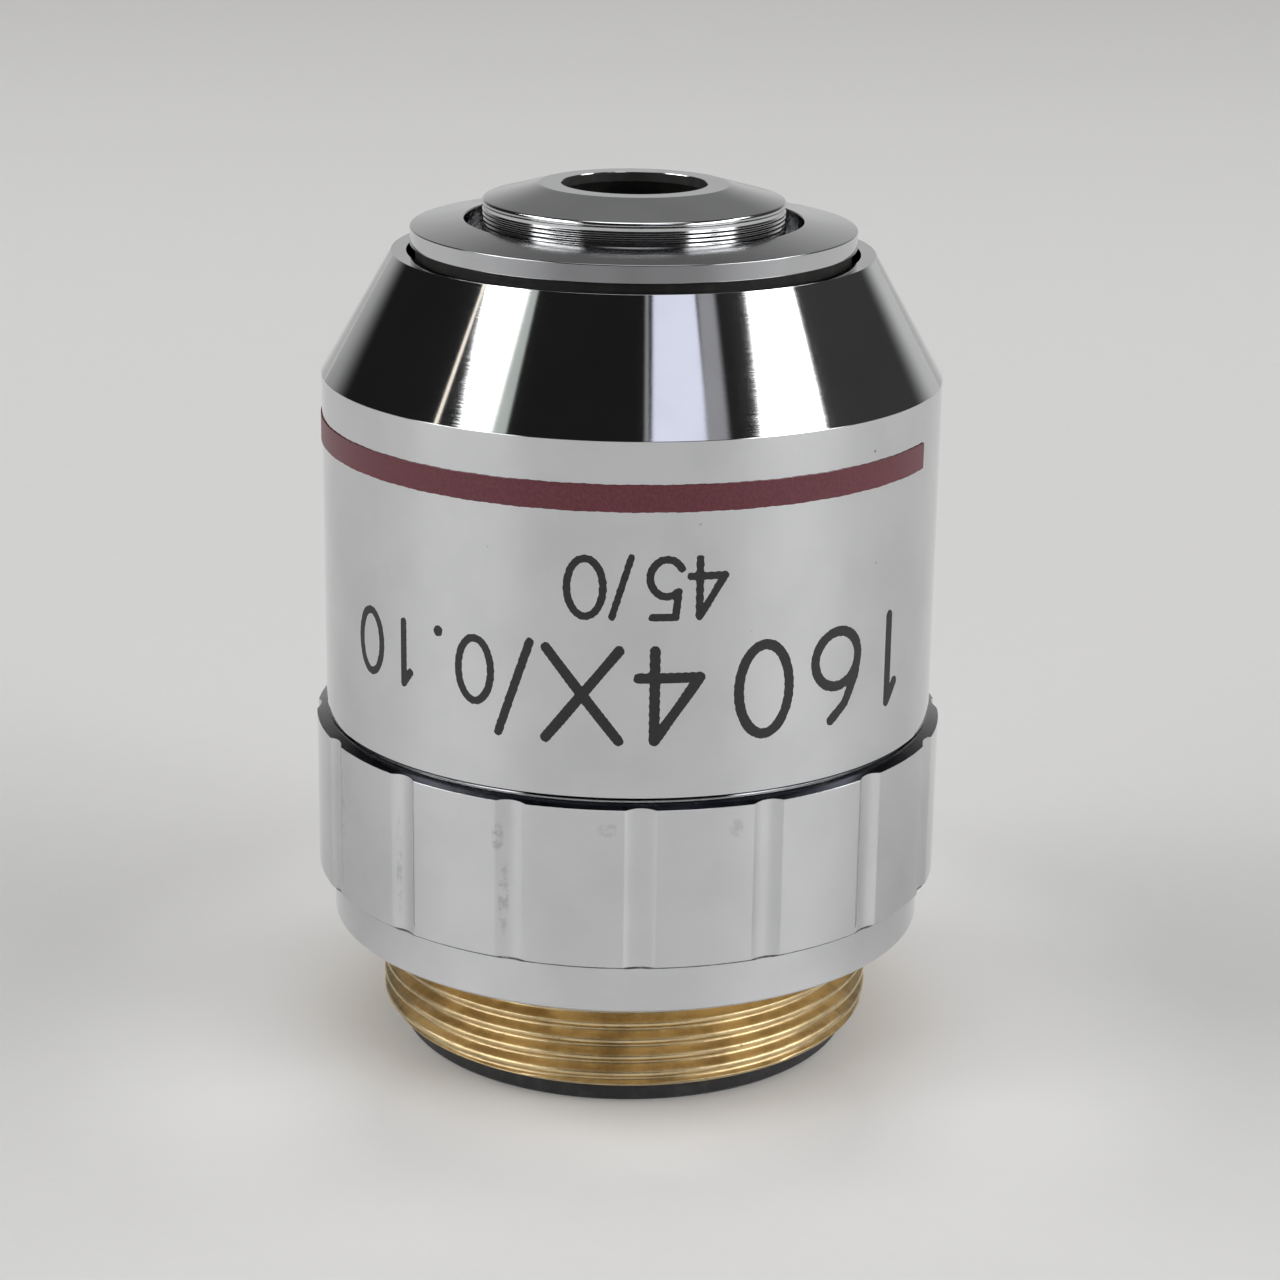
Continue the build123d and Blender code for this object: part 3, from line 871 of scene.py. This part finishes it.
class OBJECTIVE_OT_figures(PieceOperator, bpy.types.Operator):
    """Ink the plain figures on the sleeve"""

    bl_idname = "objective.figures"
    bl_label = "Figures"

    def build(self):
        settings = self.figures
        cap = settings.cap_height / MM
        stroke = settings.stroke / MM
        lower_base, upper_base = 14.6, 18.1

        # Each row: height, base line and figures with azimuth of their high side, width and weight
        rows = [
            (cap, lower_base, [("1", 57.5, 1.3, 1.0), ("6", 45.0, 2.2, 1.0), ("0", 29.3, 2.1, 1.0)]),
            (cap, lower_base, [("4", 12.5, 2.3, 1.0), ("X", -1.6, 2.75, 1.0), ("/", -17.3, 1.25, 0.85)]),
            (cap * 0.7, lower_base, [("0", -24.6, 1.4, 0.75), (".", -35.0, 0.2, 0.75)]),
            (cap * 0.7, lower_base, [("1", -41.5, 0.9, 0.75), ("0", -50.0, 1.4, 0.75)]),
            (cap * 0.63, upper_base, [("4", 16.6, 1.3, 0.72), ("5", 9.0, 1.2, 0.72)]),
            (cap * 0.63, upper_base, [("/", 0.3, 0.7, 0.65), ("0", -4.5, 1.35, 0.72)]),
        ]
        lines = [
            (figure, azimuth, width, height, base, weight)
            for height, base, figures in rows
            for figure, azimuth, width, weight in figures
        ]
        piece = inked_figures("inked_figures", lines, stroke, settings.ink_height / MM)
        dress(piece, ink_finish("black_ink", settings.ink_colour), "black_anodise")


class OBJECTIVE_OT_grip_ring(PieceOperator, bpy.types.Operator):
    """Turn the grip ring with its step and mill its flutes"""

    bl_idname = "objective.grip_ring"
    bl_label = "Grip ring"
    bevel_height, bevel_width = 0.18, 0.47

    def build(self):
        grip, edge = self.grip, self.chrome.edge_radius / MM
        step_r, step_top = grip.step_radius / MM, grip.step_height / MM
        bevel_z = grip_high - self.bevel_height
        bore_r, collar_r, collar_top = 10.95, 11.35, 1.6
        corners = [
            (collar_r, grip_low, 0),
            (step_r - 0.1, grip_low, 0.02),
            (step_r, grip_low + 0.1, 0.02),
            (step_r, step_top, 0.01),
            (grip_r - 0.1, step_top, 0.02),
            (grip_r, step_top + 0.1, edge),
            (grip_r, bevel_z, edge),
            (grip_r - self.bevel_width, grip_high, edge),
            (bore_r, grip_high, 0),
            (bore_r, collar_top, 0),
            (collar_r, collar_top, 0),
        ]
        angles, flute_r, slope = self.flutes(grip)
        runs = [self.cut(run, flute_r, slope, bevel_z, step_top) for run in rounded_outline(corners)]
        piece = lathe("grip_ring_fluted", runs, angles)
        stains = [
            (-22.5, 7.0, 0.3, 0.7, 0.4),
            (-21.5, 4.6, 0.25, 1.9, 0.35),
            (-3.0, 7.7, 0.5, 0.35, 0.25),
            (19.0, 7.6, 0.35, 0.5, 0.25),
            (-62.0, 5.5, 0.4, 1.2, 0.3),
            (-44.0, 4.8, 0.16, 2.6, 0.3),
        ]
        chrome = self.chrome
        # The seam at the step's height carries a thin line of painted shade.
        material = chrome_finish(
            "bright_chrome_ring", chrome.chrome_colour, chrome.polish * 1.3, 0.0004, 0.05, stains, step_top
        )
        dress(piece, material, "chrome_ring", "grip_ring")
        # The top bevel gets painted shade: near-black chrome, darkest at the front.
        finish_faces(
            piece,
            self.groove_shade_finish(),
            lambda radius, z: z > self.bevel_level(radius, bevel_z) - 0.012 and radius < grip_r - 0.02,
        )

    def bevel_level(self, radius, bevel_z):
        """Height of the top bevel at a radius."""
        return bevel_z + (grip_r - radius) / self.bevel_width * (grip_high - bevel_z)

    def groove_shade_finish(self):
        """Painted shade on the bevel that faces the sleeve: near-black chrome, darkest at the front and
        lighter towards the sides.
        """
        finish = Finish("groove_painted_shade")
        dark, light, side_chrome = (0.016, 0.018, 0.028, 1.0), (0.035, 0.036, 0.042, 1.0), (0.42, 0.42, 0.43, 1.0)
        grain = finish.noise(finish.place, 1.4, 4.0, 0.65)
        painted_shade = finish.mix(finish.step(grain, 0.3, 0.7), dark, light)
        less_shade = finish.times(finish.step(finish.aside, 0.95, 1.35), 0.8)
        finish.set(Base_Color=finish.mix(less_shade, painted_shade, side_chrome), Metallic=1.0)
        finish.set(Roughness=finish.scaled(grain, 0.2, 0.15))
        finish.bump(grain, 0.003)
        return finish.material

    def flutes(self, grip):
        """Azimuths, the fluted radius at each and its slope, close together where a flute begins."""
        cutter = grip.flute_cutter / MM
        distance = grip_r - grip.flute_depth / MM + cutter
        half_pitch = math.pi / grip.flute_count
        rim = (grip_r**2 + distance**2 - cutter**2) / (2 * grip_r * distance)
        half_flute = math.acos(rim)
        edge_zone = math.radians(0.5)
        edge_start, edge_end = half_flute - edge_zone, half_flute + edge_zone
        spans = [(0, edge_start, 7), (edge_start, edge_end, 12), (edge_end, half_pitch, 6)]
        side = np.concatenate([np.linspace(*span, endpoint=False) for span in spans])
        offsets = np.concatenate([[-half_pitch], -side[:0:-1], side])
        first = grip.flute_azimuth - math.pi / 2
        angles = np.concatenate([first + i * 2 * half_pitch + offsets for i in range(grip.flute_count)])
        offsets = np.tile(offsets, grip.flute_count)
        radius = self.blended(offsets, distance, cutter)
        small = 1e-4
        ahead, behind = (self.blended(offsets + s, distance, cutter) for s in (small, -small))
        slope = (ahead - behind) / (2 * small)
        return angles, radius, slope

    def blended(self, offsets, distance, cutter):
        """Smaller of the ring's radius and the flute's, with a finely rounded edge between them."""
        reach_in = np.maximum(cutter**2 - (distance * np.sin(offsets)) ** 2, 0)
        flute = distance * np.cos(offsets) - np.sqrt(reach_in)
        flute = np.where(np.abs(offsets) < 0.3, flute, grip_r + 1)
        gap = flute - grip_r
        blend = 0.006
        return grip_r + (gap - np.sqrt(gap**2 + blend**2)) / 2

    def cut(self, run, flute_r, slope, bevel_z, step_top):
        """Cut the flutes into one run of the ring's outline where it lies outside them."""
        run_r, run_z, run_n = run
        if run_z.min() < step_top - 1e-6 or run_r.min() < grip_r - self.bevel_width - 0.01:
            return run
        tangent = -slope / flute_r
        size = np.sqrt(1 + tangent**2)
        radii, heights, normals = [], [], []
        for radius, height, normal in zip(run_r, run_z, run_n):
            inside = flute_r < radius - 1e-9
            level = np.full(len(flute_r), height)
            if height >= bevel_z - 0.05:
                bevel = self.bevel_level(flute_r, bevel_z)
                level = np.where(inside, np.maximum(np.minimum(bevel, grip_high), height), height)
            radii.append(np.where(inside, flute_r, radius))
            heights.append(level)
            share_out = abs(normal[0])
            upward = np.full(len(size), normal[1])
            fluted = np.stack([normal[0] / size, share_out * tangent / size, upward], axis=1)
            plain = column_normals(normal, len(size))
            normals.append(np.where((inside & (share_out > 0.9))[:, None], fluted, plain))
        return np.array(radii), np.array(heights), np.array(normals)


class OBJECTIVE_OT_thread(PieceOperator, bpy.types.Operator):
    """Cut the brass mount with its helical thread"""

    bl_idname = "objective.thread"
    bl_label = "Mounting thread"

    def build(self):
        thread = self.thread
        angles = even_angles(480)
        pitch = thread.pitch / MM
        crest_r, depth = thread.thread_radius / MM, thread.depth / MM
        bottom, top = thread_low, -0.5
        bore_r, relief_r, neck_r, collar_r, collar_top = 8.45, 9.58, 10.9, 11.3, 1.6
        heights = np.linspace(bottom, top, 84)
        step = 1e-3
        shape = (angles, pitch, crest_r, depth, bottom, top)
        radii, higher, lower = (
            np.array([self.thread_radius(z + shift, *shape) for z in heights]) for shift in (0.0, step, -step)
        )
        rise = (higher - lower) / (2 * step)
        turn = -rise * pitch / FULL_TURN
        normals = np.stack([np.ones_like(rise), -turn / radii, -rise], axis=2)
        normals /= np.linalg.norm(normals, axis=2, keepdims=True)
        threaded = (radii, np.repeat(heights[:, None], len(angles), axis=1), normals)
        up, out, down, back = (0.0, 1.0), (1.0, 0.0), (0.0, -1.0), (-1.0, 0.0)
        first, last = radii[0], radii[-1]
        runs = [
            ([bore_r, first], [bottom, bottom], [down, down]),
            threaded,
            ([last, relief_r], [top, top], [up, up]),
            ([relief_r, relief_r], [top, 0.0], [out, out]),
            ([relief_r, collar_r], [0.0, 0.0], [down, down]),
            ([collar_r, collar_r], [0.0, collar_top], [out, out]),
            ([collar_r, neck_r], [collar_top, collar_top], [up, up]),
            ([neck_r, neck_r], [collar_top, thread_high], [out, out]),
            ([neck_r, bore_r], [thread_high, thread_high], [up, up]),
            ([bore_r, bore_r], [thread_high, bottom], [back, back]),
        ]
        piece = lathe("thread_mount_cut", runs, angles)
        dress(piece, brass_finish("bare_brass", thread.brass_colour), "bare_brass", "thread_mount")

    def thread_radius(self, z, angles, pitch, crest_r, depth, bottom, top):
        """Radius of the rounded thread at one height and every azimuth, with its end chamfer."""
        start = self.thread.start_angle - math.pi / 2
        phase = (z / pitch - (angles - start) / FULL_TURN) * FULL_TURN
        flatness, chamfer, run_out_height, blend = 1.18, 0.35, 0.25, 0.02
        shaped = np.sin(np.cos(phase) * flatness) / math.sin(flatness)
        radius = crest_r - depth / 2 + depth / 2 * shaped
        chamfered = crest_r - chamfer + (z - bottom)
        run_out = crest_r - depth * np.clip((z - top + run_out_height) / run_out_height, 0, 1)
        limit = np.minimum(chamfered, run_out)
        gap = radius - limit
        return limit + (gap - np.sqrt(gap**2 + blend**2)) / 2


class OBJECTIVE_OT_end_ring(PieceOperator, bpy.types.Operator):
    """Finish the black ring that the objective stands on"""

    bl_idname = "objective.end_ring"
    bl_label = "End ring"

    def build(self):
        repaint("rear_end_ring", black_finish("black_anodised_ring", self.thread.black_colour, 0.32))


class OBJECTIVE_OT_front_ring(PieceOperator, bpy.types.Operator):
    """Turn the front ring round the nose"""

    bl_idname = "objective.front_ring"
    bl_label = "Front ring"

    def build(self):
        rim_top = disc_high - 0.3
        underside = rim_top - 0.71
        opening_r, recess_r, bore_r, skirt_r = 6.69, 7.25, 8.04, 8.6
        recess_low, recess_high = 26.3, 27.0
        corners = [
            (bore_r, disc_low, 0),
            (skirt_r, disc_low, 0.02),
            (skirt_r, underside, 0.02),
            (disc_r, underside, 0.04),
            (disc_r, rim_top, 0.05),
            (opening_r, disc_high, 0.05),
            (opening_r, recess_high, 0.02),
            (recess_r, recess_high, 0),
            (recess_r, recess_low, 0),
            (bore_r, recess_low, 0),
        ]
        piece = turned("front_ring_turned", corners)
        # The 0.65 sets a painted dark reflection on the camera side of the disc, darkest at the front.
        material = self.satin_finish("satin_chrome_disc", dark_reflection=0.65)
        dress(piece, material, "satin_chrome", "front_ring")
        # Faces below the rim's underside are painted near-black, as painted shade on the neck under the disc.
        neck_shade = black_finish("neck_painted_shade", self.glass.black_colour, 0.5)
        finish_faces(piece, neck_shade, lambda radius, z: z < underside + 0.005)


class OBJECTIVE_OT_nose(PieceOperator, bpy.types.Operator):
    """Turn the raised nose with its light hole"""

    bl_idname = "objective.nose"
    bl_label = "Nose"

    def build(self):
        flange_low, flange_top, seat = 26.2, 26.2 + 0.8, 26.2 + 1.39
        face_r, edge_r, face_slope = 3.75, 6.01, math.radians(15.2)
        rim = nose_high - (edge_r - face_r) * math.tan(face_slope)
        lens_bore_r, spigot_r, stem_r, groove_r = 5.02, 5.98, 5.93, 5.95
        hole_r, hole_edge_r, seat_r = 2.87, 2.89, 4.6
        corners = [
            (lens_bore_r, nose_low, 0),
            (spigot_r, nose_low, 0),
            (spigot_r, flange_low, 0),
            (nose_r, flange_low, 0),
            (nose_r, flange_top, 0.03),
            (stem_r, flange_top, 0.03),
            *self.grooves(groove_r, flange_low + 0.95, rim - 0.24),
            (stem_r, rim - 0.2, 0.01),
            (edge_r - 0.03, rim - 0.17, 0.02),
            (edge_r, rim, 0.15),
            (face_r, nose_high, 0.3),
            (hole_edge_r, nose_high, 0.02),
            (hole_r, nose_high - 0.03, 0.01),
            (hole_r, nose_high - 0.38, 0),
            (seat_r, seat, 0),
            (lens_bore_r, seat, 0),
        ]
        piece = turned("nose_cell_turned", corners, 4)
        material = self.satin_finish("satin_chrome_nose")
        dress(piece, material, "satin_chrome", "nose_cell")
        finish_faces(
            piece,
            black_finish("blackened_hole", self.glass.black_colour, 0.55),
            lambda radius, z: radius < hole_r + 0.005 or (radius < 5.0 and z < nose_high - 0.3),
        )

    def grooves(self, radius, low, high):
        """Corners of the shallow tool grooves up the stem."""
        pitch, depth, rounding = 0.17, 0.018, 0.03
        corners = []
        count = round((high - low) / pitch)
        for i in range(count):
            z = low + (high - low) * i / count
            corners.append((radius + depth, z, rounding))
            corners.append((radius - depth, z + pitch / 2, rounding))
        return corners


class OBJECTIVE_OT_inner_metal(PieceOperator, bpy.types.Operator):
    """Blacken the barrel, cells, retainers and stop"""

    bl_idname = "objective.inner_metal"
    bl_label = "Inner metal"

    def build(self):
        blackened = black_finish("blackened_brass", self.glass.black_colour, 0.5)
        for node in ("lens_barrel", "rear_cell", "middle_cell", "air_gap_spacer"):
            repaint(node, blackened)
        anodised = black_finish("black_anodised_inside", self.thread.black_colour, 0.35)
        retainers = ("rear_lens_retainer", "middle_lens_retainer", "front_lens_retainer")
        for node in ("cell_lock_ring", *retainers, "aperture_stop"):
            repaint(node, anodised)
        repaint("parfocal_spacer", brass_finish("brass_shim", self.thread.brass_colour))


class OBJECTIVE_OT_glass(PieceOperator, bpy.types.Operator):
    """Polish the five lenses"""

    bl_idname = "objective.glass"
    bl_label = "Glass"

    def build(self):
        glass = self.glass
        kinds = [
            ("crown", glass.crown_index, ("rear_crown_lens", "middle_lens", "front_crown_lens")),
            ("flint", glass.flint_index, ("rear_flint_lens", "front_flint_lens")),
        ]
        for kind, index, nodes in kinds:
            material = glass_finish(f"coated_{kind}_glass", glass.coating_colour, index)
            for node in nodes:
                repaint(node, material)


class OBJECTIVE_PT_pieces(bpy.types.Panel):
    """List of the objective's pieces and their settings"""

    bl_idname = "OBJECTIVE_PT_pieces"
    bl_label = "Objective"
    bl_space_type = "VIEW_3D"
    bl_region_type = "UI"
    bl_category = "Objective"

    def draw(self, context):
        for operator in operators:
            self.layout.operator(operator.bl_idname)
        for name in settings_groups:
            group = getattr(context.scene, name)
            box = self.layout.box()
            for key in group.__annotations__:
                box.prop(group, key)


operators = (
    OBJECTIVE_OT_stage,
    OBJECTIVE_OT_sleeve,
    OBJECTIVE_OT_band,
    OBJECTIVE_OT_figures,
    OBJECTIVE_OT_grip_ring,
    OBJECTIVE_OT_thread,
    OBJECTIVE_OT_end_ring,
    OBJECTIVE_OT_front_ring,
    OBJECTIVE_OT_nose,
    OBJECTIVE_OT_inner_metal,
    OBJECTIVE_OT_glass,
)

settings_groups = {
    "objective_stage": StageSettings,
    "objective_chrome": ChromeSettings,
    "objective_grip": GripSettings,
    "objective_thread": ThreadSettings,
    "objective_figures": FigureSettings,
    "objective_glass": GlassSettings,
}


def register():
    for name, group in settings_groups.items():
        bpy.utils.register_class(group)
        setattr(bpy.types.Scene, name, bpy.props.PointerProperty(type=group))
    for operator in operators:
        bpy.utils.register_class(operator)
    bpy.utils.register_class(OBJECTIVE_PT_pieces)


def unregister():
    bpy.utils.unregister_class(OBJECTIVE_PT_pieces)
    for operator in reversed(operators):
        bpy.utils.unregister_class(operator)
    for name, group in reversed(settings_groups.items()):
        delattr(bpy.types.Scene, name)
        bpy.utils.unregister_class(group)


def main():
    register()
    for operator in operators:
        group, name = operator.bl_idname.split(".")
        getattr(getattr(bpy.ops, group), name)()


if __name__ == "__main__":
    main()
